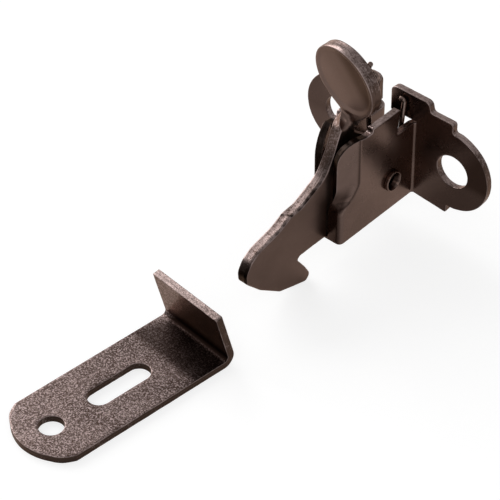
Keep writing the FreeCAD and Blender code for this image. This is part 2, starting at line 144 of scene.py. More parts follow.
# Blank of the bracket: u is 0 at the ear bend's start and runs down the wall to the web
FRONT_FOOT = HALF_WIDTH + EAR_BEND
BEND_LENGTH = (EAR_BEND + SHEET / 2) * math.pi / 2
WALL_REAR = CHEEK_START - SHEET
REAR_MARK = BEND_LENGTH + WALL_REAR - EAR_BEND
FRONT_RUNS = (2.6, 2.2, 1.7)
FRONT_MARKS = np.cumsum([REAR_MARK, *FRONT_RUNS])
TAB_END = FRONT_FOOT + 1.3

# Film colours, floor and light
FILM = (0.160, 0.108, 0.091)
WORN = (0.50, 0.39, 0.35)
EDGE_DARK = (0.085, 0.055, 0.045)
EDGE_PALE = (0.44, 0.34, 0.32)
PAINTED_SHADE_AND_MARK_TONE = (0.18, 0.15, 0.14)
EDGE_LINE_AND_SHADE_DARK = (0.012, 0.008, 0.006)
STRIKE_FILM = (0.085, 0.056, 0.047)
STRIKE_WORN = (0.72, 0.57, 0.55)
# Darker copy of the edge colour for the strike: painted shade on its cut sides.
STRIKE_EDGE_SHADE = (0.05, 0.033, 0.027)
SPRING_FILM = (0.20, 0.145, 0.125)
GRAZING_TINT = (0.85, 0.70, 0.62, 1)
FLOOR_SIZE = 3.0
FLOOR_GAP = 0.00005
SKY_STRENGTH = 0.47
LAMP_AIM = (0, -0.03, 0)

# Camera, in metres of the frame
CAMERA_PLACE = (0.2136, -0.2773, 0.2810)
CAMERA_AIM = (-0.5015, 0.5598, -0.6596)
CAMERA_ROLL = math.radians(-0.36)
CAMERA_LENS = 187.4


def to_frame(side, forward, height):
    """Points of the model frame in metres, from arrays of side, forward and height."""
    points = np.stack([side, -SHEET - forward, height - HOLE_HEIGHT], axis=-1)
    return points.reshape(-1, 3) * 0.001


# ---- outlines and paths ----

def rounded(corners, radii, closed=True, arc=10):
    """Line through corners in any dimension. Each corner is an arc tangent to its two sides:
    its points are the turn from one radius to the other about the centre, by equal angles."""
    at = np.array(corners, float)
    radii = np.broadcast_to(np.array(radii, float), len(at))
    before = np.roll(at, 1, 0)
    after = np.roll(at, -1, 0)
    if not closed:
        ends = at[[0, -1]]
        before, at, after, radii = before[1:-1], at[1:-1], after[1:-1], radii[1:-1]
    back, ahead = before - at, after - at
    long_back = np.linalg.norm(back, axis=1, keepdims=True)
    long_ahead = np.linalg.norm(ahead, axis=1, keepdims=True)
    back, ahead = back / long_back, ahead / long_ahead
    half = np.arccos(np.clip((back * ahead).sum(1, keepdims=True), -1, 1)) / 2
    half = np.clip(half, 1e-3, math.pi / 2 - 1e-4)
    reach = np.minimum(radii[:, None] / np.tan(half), 0.495 * np.minimum(long_back, long_ahead))
    reach = np.maximum(reach, 1e-6)
    bisector = back + ahead
    bisector /= np.maximum(np.linalg.norm(bisector, axis=1, keepdims=True), 1e-9)
    centre = at + bisector * reach / np.cos(half)
    first, last = at + back * reach - centre, at + ahead * reach - centre
    share = np.linspace(0, 1, arc)[None, :, None]
    sweep = (math.pi - 2 * half)[:, :, None]
    turn = np.sin((1 - share) * sweep) * first[:, None] + np.sin(share * sweep) * last[:, None]
    line = (centre[:, None] + turn / np.sin(sweep)).reshape(-1, at.shape[1])
    if not closed:
        line = np.vstack([ends[:1], line, ends[1:]])
    return line


def even(line, step, closed=True):
    """The same line walked at an even step."""
    if closed:
        line = np.vstack([line, line[:1]])
    run = np.concatenate([[0], np.cumsum(np.linalg.norm(np.diff(line, axis=0), axis=1))])
    count = max(8, int(round(run[-1] / step)))
    marks = np.linspace(0, run[-1], count, endpoint=not closed)
    return np.stack([np.interp(marks, run, line[:, k]) for k in range(line.shape[1])], axis=1)


def blank(corners, step):
    """Closed outline through (u, v, radius) corners, walked at an even step."""
    return even(rounded([c[:2] for c in corners], [c[2] for c in corners]), step)


def circle(u, v, radius, step):
    """Closed ring of points at one radius from its centre."""
    count = int(2 * math.pi * radius / step)
    angle = np.linspace(0, 2 * math.pi, count, endpoint=False)
    return np.stack([u + radius * np.cos(angle), v + radius * np.sin(angle)], axis=1)


def arc_corners(u, v, radius, start, finish, parts):
    """Corners whose rounds make one arc about a centre: the tangents at the ends of equal parts
    meet at radius over the cosine of half a part."""
    step = (finish - start) / parts
    angle = start + (np.arange(parts) + 0.5) * step
    reach = radius / math.cos(step / 2)
    return [(u + reach * math.cos(a), v + reach * math.sin(a), radius) for a in angle]


def inside(points, loops):
    """Even-odd test: a point is inside where a ray to its right crosses the loops an odd
    number of times."""
    odd = np.zeros(len(points), bool)
    for loop in loops:
        a, b = loop, np.roll(loop, -1, 0)
        x, y = points[:, :1], points[:, 1:]
        spans = (a[:, 1] > y) != (b[:, 1] > y)
        rise = np.where(b[:, 1] == a[:, 1], 1e-12, b[:, 1] - a[:, 1])
        crossing = a[:, 0] + (y - a[:, 1]) * (b[:, 0] - a[:, 0]) / rise
        odd ^= (np.sum(spans & (x < crossing), axis=1) % 2).astype(bool)
    return odd


def smooth(x, low, high):
    """Rises from 0 at low to 1 at high with no kink at either end."""
    t = np.clip((x - low) / (high - low), 0, 1)
    return t * t * (3 - 2 * t)


def bell(x, middle, width):
    """Bell curve: 1 at the middle and 0.37 one width away."""
    return np.exp(-((x - middle) / width) ** 2)


def ripple(u, v, seed):
    """Cheap even unevenness between -1 and 1: a few sine waves of unrelated pitch."""
    rng = np.random.default_rng(seed)
    total = np.zeros_like(u)
    for _ in range(7):
        a, b = rng.normal(0, 2.2, 2)
        total += np.sin(a * u + b * v + rng.uniform(0, 6.28))
    return total / 7


# ---- meshes ----

def put(name, data):
    """New object of the scene."""
    piece = bpy.data.objects.new(name, data)
    bpy.context.scene.collection.objects.link(piece)
    return piece


def finish_piece(name, points, faces, material, node, body=None, marks=None):
    """Puts worked-out points (metres) and faces into a smooth piece that stands for a node. It
    rides on a body, or on none where it is to be blended between two."""
    mesh = bpy.data.meshes.new(name)
    mesh.from_pydata(points.tolist(), [], faces)
    for label, values in (marks or {}).items():
        mark = mesh.attributes.new(label, "FLOAT", "POINT")
        mark.data.foreach_set("value", values.astype(np.float32))
    mesh.polygons.foreach_set("use_smooth", np.full(len(mesh.polygons), True))
    mesh.materials.append(material)
    mesh.update()
    piece = put(name, mesh)
    if body:
        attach(piece, body)
    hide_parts(node)
    return piece


def edge_profile(half, arris):
    """Inset and depth of each row of a cut edge, front to back: a worn quarter round, the smooth
    burnished band, the torn band set slightly deeper, and a worn quarter round."""
    phi = np.linspace(math.pi / 2, 0, 4)
    front_in, front_w = arris * (1 - np.cos(phi)), half - arris + arris * np.sin(phi)
    middle = half * (1 - 2 * BURNISHED_SHARE)
    band_in = np.array([0.0, 0.0, TORN_DEPTH * 0.7, TORN_DEPTH])
    band_w = np.array([middle + 0.12, middle + 0.03, middle - 0.08, -half + arris + 0.12])
    back_in = TORN_DEPTH + front_in[::-1] * (1 - TORN_DEPTH / arris)
    return np.concatenate([front_in, band_in, back_in]), np.concatenate([front_w, band_w, -front_w[::-1]])


def edge_rows(loop, order, half, arris):
    """The edge profile carried along one closed loop as rows of points. Each row is the loop
    moved inwards by its inset, and the torn rows and the band between them wander a little.
    It gives flat places, depths, the way travelled and the direction out of the sheet."""
    insets, depths = edge_profile(half, arris)
    tangent = np.roll(loop, -1, 0) - np.roll(loop, 1, 0)
    tangent /= np.linalg.norm(tangent, axis=1, keepdims=True)
    inward = np.stack([-tangent[:, 1], tangent[:, 0]], axis=1)
    steps = np.linalg.norm(np.roll(loop, -1, 0) - loop, axis=1)
    travelled = np.concatenate([[0], np.cumsum(steps)[:-1]])
    torn = 1 + 0.5 * ripple(travelled, 0 * travelled, 11 + order)
    inset = insets[:, None] * np.where(insets[:, None] > arris * 0.999, 1, torn[None, :])
    flat = loop[None] + inward[None] * inset[:, :, None]
    depth = np.repeat(depths[:, None], len(loop), axis=1)
    wander = 0.10 * ripple(travelled * 0.8, 0 * travelled, 31 + order)
    depth[4:7] += wander[None, :] * min(1.0, half)
    return flat, depth, travelled, -inward


def inner_field(outline, loops, spacing):
    """Staggered even points inside the loops, none nearer to a loop than 0.45 of a step."""
    low, high = outline.min(0), outline.max(0)
    border = np.vstack(loops)
    across = np.arange(low[0], high[0], spacing)
    upward = np.arange(low[1], high[1], spacing * 0.866)
    field = np.stack(np.meshgrid(across, upward, indexing="ij"), axis=-1)
    field[:, 1::2, 0] += spacing / 2
    field = field.reshape(-1, 2)
    field = field[inside(field, loops)]
    parts = [field[start:start + 2000] for start in range(0, len(field), 2000)]
    near = [np.linalg.norm(part[:, None] - border[None], axis=2).min(1) for part in parts]
    return field[np.concatenate(near) > 0.45 * spacing]


def face_triangles(loops, field):
    """Triangles of the face between the loops: a constrained triangulation of the loops' points
    and the inner field, without what lies outside, all turning the same way."""
    places = np.vstack([*loops, field])
    edges, base = [], 0
    for loop in loops:
        ring = base + np.arange(len(loop))
        edges.extend(np.stack([ring, np.roll(ring, -1)], axis=1).tolist())
        base += len(ring)
    found = delaunay_2d_cdt([Vector(place) for place in places.tolist()], edges, [], 0, 1e-7)
    origin = np.array([o[0] for o in found[3]])
    triangles = origin[np.array(found[2])]
    triangles = triangles[inside(places[triangles].mean(1), loops)]
    a, b, c = places[triangles[:, 0]], places[triangles[:, 1]], places[triangles[:, 2]]
    turn = (b - a)[:, 0] * (c - a)[:, 1] - (b - a)[:, 1] * (c - a)[:, 0]
    triangles[turn < 0] = triangles[turn < 0][:, ::-1]
    return triangles


def cut_sheet(loops, half, arris, spacing, fold, painted_shade_and_dark_marks):
    """A stamped blank, folded. The first loop is the outline and the rest are holes.

    Each loop gets its sheared edge, and both faces are filled between the edges. fold maps
    (u, v, w) of the flat blank to side, forward and height; w runs from the back face at -half
    to the front face at +half. The last argument gives the share of painted shade and dark
    marks in the film there, from the same and from how far a point is on the cut edge.
    The marks say what is cut edge, how far along and through it lies, what is its worn arris,
    and how far it faces up."""
    points, cut, along, through, worn, outward, faces, rims = [], [], [], [], [], [], [], []
    offset = 0
    for order, loop in enumerate(loops):
        area = 0.5 * np.sum(loop[:, 0] * np.roll(loop[:, 1], -1) - np.roll(loop[:, 0], -1) * loop[:, 1])
        if (area > 0) != (order == 0):
            loop = loop[::-1]
        flat, depth, travelled, out = edge_rows(loop, order, half, arris)
        rows, count = depth.shape
        row = np.arange(rows)
        points.append(np.concatenate([flat.reshape(-1, 2), depth.reshape(-1, 1)], axis=1))
        cut.append(np.repeat(np.clip((row - 0.5) / 2, 0, 1) * np.clip((rows - 1.5 - row) / 2, 0, 1), count))
        along.append(np.tile(travelled, rows))
        through.append(depth.ravel())
        worn.append(np.repeat(np.isin(row, (1, 2, rows - 3, rows - 2)).astype(float), count))
        outward.append(np.tile(out, (rows, 1)))
        index = offset + np.arange(rows * count).reshape(rows, count)
        after = np.roll(index, -1, 1)
        faces.extend(np.stack([index[:-1], index[1:], after[1:], after[:-1]], axis=-1).reshape(-1, 4).tolist())
        rims.append((flat[0], index[0], index[-1]))
        offset += rows * count
    borders = [rim[0] for rim in rims]
    field = inner_field(loops[0], borders, spacing)
    triangles = face_triangles(borders, field)
    for side, level in ((1, half), (2, -half)):
        lookup = np.concatenate([*[rim[side] for rim in rims], offset + np.arange(len(field))])
        filled = lookup[triangles]
        faces.extend((filled if level > 0 else filled[:, ::-1]).tolist())
        points.append(np.column_stack([field, np.full(len(field), level)]))
        through.append(np.full(len(field), level))
        for mark in (cut, along, worn):
            mark.append(np.zeros(len(field)))
        outward.append(np.zeros((len(field), 2)))
        offset += len(field)
    u, v, w = np.vstack(points).T
    step = np.vstack(outward) * 0.05
    placed = fold(u, v, w)
    raised = fold(u + step[:, 0], v + step[:, 1], w)[2] - placed[2]
    cut = np.concatenate(cut)
    marks = {
        "cut": cut, "along": np.concatenate(along), "through": np.concatenate(through),
        # The last mark darkens the film with painted shade, and with a few dark marks on the lever's cut edge.
        "arris": np.concatenate(worn), "upward": np.clip(raised / 0.05, -1, 1), "painted_shade_and_dark_marks": painted_shade_and_dark_marks(u, v, w, cut),
    }
    return to_frame(*placed), faces, marks


def tube(line, radius, sides):
    """Round wire: a ring carried along a line on frames that never spin about it, with
    ground flat ends closed by a slightly domed cap."""
    tangent = np.gradient(line, axis=0)
    tangent /= np.linalg.norm(tangent, axis=1, keepdims=True)
    normal = np.zeros_like(line)
    guess = np.array([0, 0.2, 1.0])
    for k in range(len(line)):
        guess = guess - tangent[k] * guess.dot(tangent[k])
        guess = guess / np.linalg.norm(guess)
        normal[k] = guess
    binormal = np.cross(tangent, normal)
    angle = np.linspace(0, 2 * math.pi, sides, endpoint=False)
    sizes = np.ones(len(line))
    sizes[[0, -1]] = 0.72
    ring = np.cos(angle)[None, :, None] * normal[:, None] + np.sin(angle)[None, :, None] * binormal[:, None]
    points = (line[:, None] + radius * sizes[:, None, None] * ring).reshape(-1, 3)
    index = np.arange(len(points)).reshape(len(line), sides)
    after = np.roll(index, -1, 1)
    faces = np.stack([index[:-1], after[:-1], after[1:], index[1:]], axis=-1).reshape(-1, 4).tolist()
    faces.append(index[0][::-1].tolist())
    faces.append(index[-1].tolist())
    return points, faces


def turned(profile, centre, sides):
    """A profile of (x, radius) points spun about the side axis through (forward, height).
    Its first and last points lie on the axis."""
    angle = np.linspace(0, 2 * math.pi, sides, endpoint=False)
    body = profile[1:-1]
    side = np.repeat(body[:, 0], sides)
    forward = centre[0] + (body[:, 1:] * np.cos(angle)[None]).ravel()
    height = centre[1] + (body[:, 1:] * np.sin(angle)[None]).ravel()
    side = np.concatenate([side, profile[[0, -1], 0]])
    forward = np.concatenate([forward, [centre[0]] * 2])
    height = np.concatenate([height, [centre[1]] * 2])
    index = np.arange(len(body) * sides).reshape(len(body), sides)
    after = np.roll(index, -1, 1)
    faces = np.stack([index[:-1], index[1:], after[1:], after[:-1]], axis=-1).reshape(-1, 4).tolist()
    first, last = len(body) * sides, len(body) * sides + 1
    faces += [[first, a, b] for a, b in zip(index[0].tolist(), after[0].tolist())]
    faces += [[last, b, a] for a, b in zip(index[-1].tolist(), after[-1].tolist())]
    return to_frame(side, forward, height), faces


# ---- finishes ----

def grouped(name, inputs, outputs):
    """Shader group with its sockets listed by kind: its tree, what comes in and what goes out."""
    tree = bpy.data.node_groups.new(name, "ShaderNodeTree")
    for way, sockets in (("INPUT", inputs), ("OUTPUT", outputs)):
        for kind, labels in sockets.items():
            for label in labels:
                tree.interface.new_socket(label, in_out=way, socket_type="NodeSocket" + kind)
    return tree, tree.nodes.new("NodeGroupInput").outputs, tree.nodes.new("NodeGroupOutput").inputs


def add(tree, kind, settings=None, values=None, links=None):
    """Adds one node, sets its options and socket values, and links its inputs."""
    node = tree.nodes.new(kind)
    for key, value in (settings or {}).items():
        setattr(node, key, value)
    for key, value in (values or {}).items():
        node.inputs[key].default_value = value
    for key, source in (links or {}).items():
        tree.links.new(source, node.inputs[key])
    return node


def ramp(source, stops):
    """Colour ramp with (position, grey or colour) stops."""
    node = add(source.id_data, "ShaderNodeValToRGB", links={0: source})
    while len(node.color_ramp.elements) < len(stops):
        node.color_ramp.elements.new(0.5)
    for element, (position, value) in zip(node.color_ramp.elements, stops):
        element.position = position
        colour = value if isinstance(value, tuple) else (value, value, value)
        element.color = (*colour, 1)
    return node.outputs[0]


def reckon(a, b, operation="MULTIPLY"):
    """Product of two sockets, or of a socket and a number, or another result where an operation
    is named."""
    numbers = {place: value for place, value in enumerate((a, b)) if isinstance(value, float)}
    sockets = {place: value for place, value in enumerate((a, b)) if place not in numbers}
    tree = next(iter(sockets.values())).id_data
    return add(tree, "ShaderNodeMath", {"operation": operation}, numbers, sockets).outputs[0]


def mixed(factor, a, b):
    """Colour between a and b, sockets or plain colours, by a factor."""
    colours = {place: (*value, 1) for place, value in ((6, a), (7, b)) if isinstance(value, tuple)}
    sockets = {place: value for place, value in ((0, factor), (6, a), (7, b)) if place not in colours}
    return add(factor.id_data, "ShaderNodeMix", {"data_type": "RGBA"}, colours, sockets).outputs[2]


def noise(vector, scale, detail, roughness, distortion=0.0):
    """Noise of a scale, which is a number or a socket."""
    values = {"Detail": detail, "Roughness": roughness, "Distortion": distortion}
    links = {"Vector": vector}
    (values if isinstance(scale, float) else links)["Scale"] = scale
    return add(vector.id_data, "ShaderNodeTexNoise", values=values, links=links).outputs["Fac"]


def grain_group():
    """Satin bronze film: its colour drifts in clouds, its roughness with it, and a fine hammered
    grain of two sizes stands in the height. Peaks of the grain and curled scratches show worn
    metal, and painted shade with a few dark marks covers both and darkens the film."""
    tree, given, result = grouped("bronze_grain", {
        "Vector": ["Vector"], "Color": ["Film", "Worn"],
        "Float": ["Grain", "Wear", "Satin", "Painted Shade And Dark Marks", "Scratches"],
    }, {"Color": ["Color"], "Float": ["Roughness", "Height"]})
    vector, grain = given["Vector"], given["Grain"]
    cloud = noise(vector, 180.0, 3.0, 0.55)
    fine = noise(vector, grain, 2.0, 0.6)
    cells = noise(vector, reckon(grain, 0.55), 1.0, 0.5, 1.2)
    height = reckon(reckon(fine, 0.6), cells, "ADD")
    peaks = reckon(height, reckon(cloud, 0.25), "ADD")
    peaks = reckon(peaks, given["Wear"], "ADD")
    mask = ramp(reckon(peaks, 0.5), [(0.475, 0.0), (0.625, 1.0)])
    curl = noise(vector, 1700.0, 2.0, 0.55, 3.0)
    thin = reckon(reckon(curl, 0.5, "SUBTRACT"), 0.0, "ABSOLUTE")
    lines = ramp(thin, [(0.0, 1.0), (0.030, 0.0)])
    spread = reckon(cells, reckon(cloud, 0.6), "ADD")
    patchy = ramp(spread, [(0.62, 0.0), (0.95, 1.0)])
    specks = ramp(fine, [(0.50, 0.0), (0.62, 1.0)])
    scratched = reckon(reckon(lines, patchy), reckon(specks, 0.6), "MAXIMUM")
    scratched = reckon(scratched, given["Scratches"])
    # Painted shade hides the worn peaks and scratches and turns the film's tone darker.
    unshaded = reckon(1.0, given["Painted Shade And Dark Marks"], "SUBTRACT")
    mask = reckon(reckon(mask, scratched, "MAXIMUM"), unshaded)
    tone = ramp(cloud, [(0.3, 0.88), (0.7, 1.10)])
    tone = mixed(given["Painted Shade And Dark Marks"], tone, PAINTED_SHADE_AND_MARK_TONE)
    film = add(tree, "ShaderNodeMix", {"data_type": "RGBA", "blend_type": "MULTIPLY"}, {0: 1.0},
               {6: given["Film"], 7: tone})
    tree.links.new(mixed(mask, film.outputs[2], given["Worn"]), result["Color"])
    rough = reckon(given["Satin"], ramp(cloud, [(0.3, 0.85), (0.7, 1.15)]))
    tree.links.new(rough, result["Roughness"])
    tree.links.new(height, result["Height"])
    return tree


def sheared_group():
    """Cut edge of sheet over the face's colour: fine lines drawn lengthwise by the shear, pale
    where speckle, blotches and a painted highlight on upward-facing edges add up, a broken dark
    line where the burnished band ends, rubbed pale arrises, and painted shade and dark marks
    over all of it."""
    tree, given, result = grouped("sheared_edge", {
        "Vector": ["Vector"], "Color": ["Face Color", "Dark", "Pale"],
        "Float": ["Along", "Through", "Half Sheet", "Cut", "Brightness", "Upward", "Arris", "Painted Shade And Dark Marks"],
    }, {"Color": ["Color"], "Float": ["Height"]})
    drawn = add(tree, "ShaderNodeCombineXYZ", links={
        0: reckon(given["Along"], 0.9), 1: reckon(given["Through"], 7.0)})
    streak = noise(drawn.outputs[0], 1.0, 3.0, 0.6)
    speck = noise(given["Vector"], 3000.0, 3.0, 0.75)
    blotch = noise(given["Vector"], 300.0, 2.0, 0.5)
    level = speck
    # Painted highlight: the more an edge faces up, the more it turns pale.
    for part, share in ((blotch, 0.7), (streak, 0.35), (given["Brightness"], 1.0), (given["Upward"], 0.44)):
        level = reckon(level, reckon(part, share), "ADD")
    pale = ramp(reckon(level, 0.5), [(0.50, 0.0), (0.70, 1.0)])
    share = reckon(given["Through"], given["Half Sheet"], "DIVIDE")
    wobble = reckon(reckon(blotch, 0.5, "SUBTRACT"), 1.3)
    place = reckon(reckon(share, wobble, "ADD"), 0.2, "SUBTRACT")
    broken = ramp(reckon(streak, blotch), [(0.24, 0.0), (0.30, 1.0)])
    dark_line = reckon(ramp(reckon(place, place), [(0.0, 1.0), (0.006, 0.0)]), broken)
    colour = mixed(pale, given["Dark"], given["Pale"])
    colour = mixed(reckon(dark_line, 0.7), colour, EDGE_LINE_AND_SHADE_DARK)
    mask = ramp(given["Cut"], [(0.25, 0.0), (0.75, 1.0)])
    colour = mixed(mask, given["Face Color"], colour)
    rubbed = ramp(blotch, [(0.35, 0.05), (0.65, 0.75)])
    rubbed = reckon(rubbed, given["Arris"])
    # Painted shade on the cut edge takes away the rubbed paleness and turns the edge near black.
    rubbed = reckon(rubbed, reckon(1.0, given["Painted Shade And Dark Marks"], "SUBTRACT"))
    colour = mixed(reckon(mask, given["Painted Shade And Dark Marks"]), colour, EDGE_LINE_AND_SHADE_DARK)
    tree.links.new(mixed(rubbed, colour, given["Pale"]), result["Color"])
    relief = reckon(reckon(streak, 1.4), speck, "ADD")
    relief = reckon(relief, dark_line, "SUBTRACT")
    tree.links.new(reckon(relief, mask), result["Height"])
    return tree


GRAIN = grain_group()
SHEARED = sheared_group()


def bronze(name, film, worn, grain, wear, satin, relief, edge=None, scratches=0.0):
    """Finish of one piece: satin film on its faces and, where edge gives (half sheet,
    brightness, dark, pale), sheared edges. relief is the grain's depth in millimetres."""
    material = bpy.data.materials.new(name)
    material.use_nodes = True
    tree = material.node_tree
    shader = tree.nodes["Principled BSDF"]
    shader.inputs["Metallic"].default_value = 1.0
    shader.inputs["Specular Tint"].default_value = GRAZING_TINT
    place = tree.nodes.new("ShaderNodeTexCoord").outputs["Object"]

    def mark(label):
        return add(tree, "ShaderNodeAttribute", {"attribute_name": label}).outputs["Fac"]

    # Painted shade and dark marks come from a mark on the mesh.
    painted_shade_and_dark_marks = mark("painted_shade_and_dark_marks")
    face = add(tree, "ShaderNodeGroup", {"node_tree": GRAIN}, {
        "Film": (*film, 1), "Worn": (*worn, 1), "Grain": grain, "Wear": wear, "Satin": satin,
        "Scratches": scratches,
    }, {"Vector": place, "Painted Shade And Dark Marks": painted_shade_and_dark_marks})
    colour, height = face.outputs["Color"], face.outputs["Height"]
    if edge:
        half, brightness, dark, pale = edge
        cut = add(tree, "ShaderNodeGroup", {"node_tree": SHEARED}, {
            "Half Sheet": half, "Brightness": brightness, "Dark": (*dark, 1), "Pale": (*pale, 1),
        }, {"Vector": place, "Face Color": colour, "Painted Shade And Dark Marks": painted_shade_and_dark_marks})
        for label in ("cut", "along", "through", "upward", "arris"):
            tree.links.new(mark(label), cut.inputs[label.capitalize()])
        colour = cut.outputs["Color"]
        height = reckon(height, cut.outputs["Height"], "ADD")
    tree.links.new(colour, shader.inputs["Base Color"])
    tree.links.new(face.outputs["Roughness"], shader.inputs["Roughness"])
    bump = add(tree, "ShaderNodeBump", {}, {"Strength": 1.0, "Distance": relief * 0.001}, {"Height": height})
    tree.links.new(bump.outputs["Normal"], shader.inputs["Normal"])
    return material


LEVER_FINISH = bronze(
    "lever_finish", FILM, WORN, grain=4200.0, wear=-0.26, satin=0.34, relief=0.006,
    edge=(LEVER_SHEET / 2, -0.24, EDGE_DARK, EDGE_PALE))
BRACKET_FINISH = bronze(
    "bracket_finish", FILM, WORN, grain=4200.0, wear=-0.28, satin=0.27, relief=0.004,
    edge=(SHEET / 2, -0.18, EDGE_DARK, EDGE_PALE))
STRIKE_FINISH = bronze(
    "strike_finish", STRIKE_FILM, STRIKE_WORN, grain=3400.0, wear=-0.30, satin=0.32, relief=0.020,
    edge=(STRIKE_SHEET / 2, -0.15, STRIKE_EDGE_SHADE, EDGE_PALE), scratches=1.0)
RIVET_FINISH = bronze("rivet_finish", FILM, WORN, grain=3600.0, wear=-0.12, satin=0.28, relief=0.008)
SPRING_FINISH = bronze("spring_finish", SPRING_FILM, WORN, grain=3600.0, wear=-0.12, satin=0.25, relief=0.006)


# ---- lever ----

def thumb_centre():
    """Forward and flat height of the disc's middle, half a sheet behind its front face."""
    lift = LEVER_SHEET / 2 * math.sin(THUMB_LEAN)
    forward = THUMB_FORWARD - LEVER_SHEET / 2 * math.cos(THUMB_LEAN)
    return forward, NECK_TOP + (THUMB_HEIGHT + lift - NECK_TOP) / math.cos(THUMB_LEAN)


def lever_outline():
    """Blank of the lever: pivot boss, hook (measured back from the nose), neck and the disc's
    circle."""
    low = STOP_HEIGHT + STOP_GAP
    front = NECK_FORWARD + NECK_WIDTH / 2
    rear = NECK_FORWARD - NECK_WIDTH / 2
    _, middle = thumb_centre()
    hook = [
        (13.5, low, 0.6), (12.8, low - 0.5, 0.5), (14.9, -2.7, 3.0), (16.2, 1.1 - HOOK_DEPTH, 1.0),
        (15.1, -HOOK_DEPTH, 0.9), (11.6, -5.0, 2.0), (8.4, -4.0, 0.8), (3.4, -0.3, 6.0), (0.1, 3.1, 1.2),
        (0.0, 4.9, 2.0), (1.2, 6.9, 2.5), (3.2, 8.1, 2.5), (8.4, 9.3, 4.0), (11.1, 10.65, 2.0), (14.0, 10.9, 3.0),
    ]
    corners = [
        (rear + 0.7, NECK_BASE - 1.1, 1.5),
        (PIVOT[0] - 4, PIVOT[1] + 4, 3.0),
        (PIVOT[0] - 4, PIVOT[1] - 4, 4.0),
        (PIVOT[0] + 1, PIVOT[1] - 4, 2.0),
        (PIVOT[0] + 4, low, 2.0),
        *[(NOSE - behind, height, radius) for behind, height, radius in hook],
        (front + 3.6, 13.6, 5.0),
        (front + 1.3, 17.6, 6.0),
        (front, 20.9, 1.5),
        (front - 0.9, 22.3, 1.2),
        (front - 0.8, 23.6, 1.5),
        (front + 1.4, 25.0, 3.0),
        *arc_corners(NECK_FORWARD, middle, THUMB_RADIUS, math.radians(-42), math.radians(225), 10),
        (rear + 0.05, 22.8, 1.5),
        (rear + 1.2, 20.4, 1.0),
    ]
    return blank(corners, 0.16)


def lever_fold(u, v, w):
    """The flat blank twisted about its neck: below the neck it stands in the hook's plane;
    through the neck the turn rises to the disc's, from a crease that runs lower at the rear
    edge than at the front one, and above it the blank leans forward. The disc's front is
    coined to a shallow dish, with a small dent where the neck enters it."""
    thumb_forward, middle = thumb_centre()
    a = u - NECK_FORWARD
    dent_across, dent_height = THUMB_DENT
    start = NECK_BASE + TWIST_SLANT * np.clip(a, -2.4, 2.4)
    share = np.clip((v - start) / (TWIST_TOP - start), 0, 1)
    ease = 0.5 * share + 0.5 * smooth(share, 0, 1)
    turn = THUMB_TURN * ease
    lean = THUMB_LEAN * smooth(v, NECK_BASE, NECK_TOP)
    above = np.clip(v - NECK_TOP, 0, None)
    top_forward = thumb_forward - math.sin(THUMB_LEAN) * (middle - NECK_TOP)
    forward = NECK_FORWARD + (top_forward - NECK_FORWARD) * ease + above * math.sin(THUMB_LEAN)
    side = NECK_SHIFT * ease + (THUMB_SIDE - NECK_SHIFT) * above / (middle - NECK_TOP)
    height = np.minimum(v, NECK_TOP) + above * math.cos(THUMB_LEAN)
    reach = np.hypot(a, v - middle)
    dish = smooth(THUMB_RADIUS - reach, 0.35, 1.1) * (THUMB_DISH - 0.12 * (reach / THUMB_RADIUS) ** 2)
    dent = 0.15 * np.exp(-((a - dent_across) / 0.7) ** 2 - ((v - dent_height) / 0.5) ** 2)
    w = w - (dish + dent) * np.clip(w / LEVER_SHEET + 0.5, 0, 1)
    side = side - a * np.sin(turn) + w * np.cos(turn)
    forward = forward + a * np.cos(turn) + w * np.sin(turn) * np.cos(lean)
    height = height - w * np.sin(turn) * np.sin(lean)
    return side, forward, height


def lever_painted_shade_and_marks(u, v, w, cut):
    """Painted shade in the dish, deepening towards the rim at its upper right, and in the dent;
    painted shade on the hook arm's right face, deepest beside the bracket, where a painted
    reflection of the dark cheek adds to it. On the cut edge the film is darker on the right
    side of the arm, on the nose, on the burnished rise to the neck and in one nick."""
    _, middle = thumb_centre()
    a = u - NECK_FORWARD
    dent_across, dent_height = THUMB_DENT
    front = w > LEVER_SHEET * 0.3
    reach = np.hypot(a, v - middle)
    # Painted shade: a crescent under the dish's rim at its upper right.
    toward = 0.60 * (v - middle) - 0.80 * a
    crescent = 0.40 * smooth(toward, -5.5, 1.0) + 0.68 * smooth(toward, 0.8, 4.2)
    crescent = crescent * smooth(-reach, -THUMB_RADIUS, -6.7)
    # Painted shade in the dent.
    dent = np.exp(-((a - dent_across) / 0.8) ** 2 - ((v - dent_height) / 0.6) ** 2)
    # Painted shade on the arm's right face, with a painted reflection of the dark cheek beside the bracket.
    arm = 0.22 * smooth(-v, -20.5, -18.5) * (1 + 0.9 * bell(u, 20.6, 1.6))
    film = np.where(front, np.clip(0.9 * crescent + 0.5 * dent + arm, 0, 1), 0.3)
    rough = smooth(w, 0.1, 0.7) * smooth(ripple(u, v, 5) + 0.5, 0.0, 0.9) * smooth(-v, -15.0, -11.0)
    nose = smooth(u, NOSE - 1.8, NOSE - 0.8)
    burnish = smooth(w, -0.4, 0.5) * smooth(v, 10.5, 13.0) * smooth(-v, -20.0, -16.0)
    nick = bell(u - NOSE + 11.15 + 0.4 * w, 0, 0.25)
    band = np.clip(0.8 * rough + 0.85 * nose + 0.6 * burnish + nick, 0, 1) * smooth(v, 0.0, 2.0)
    shear = smooth(cut, 0.2, 0.8)
    return film * (1 - shear) + band * shear


points, faces, marks = cut_sheet(
    [lever_outline(), circle(*PIVOT, RIVET_RADIUS + RUNNING_FIT, 0.2)],
    LEVER_SHEET / 2, LEVER_ARRIS, 0.32, lever_fold, lever_painted_shade_and_marks)
finish_piece("lever_plate", points, faces, LEVER_FINISH, "lever", "lever_body", marks)


# ---- strike ----

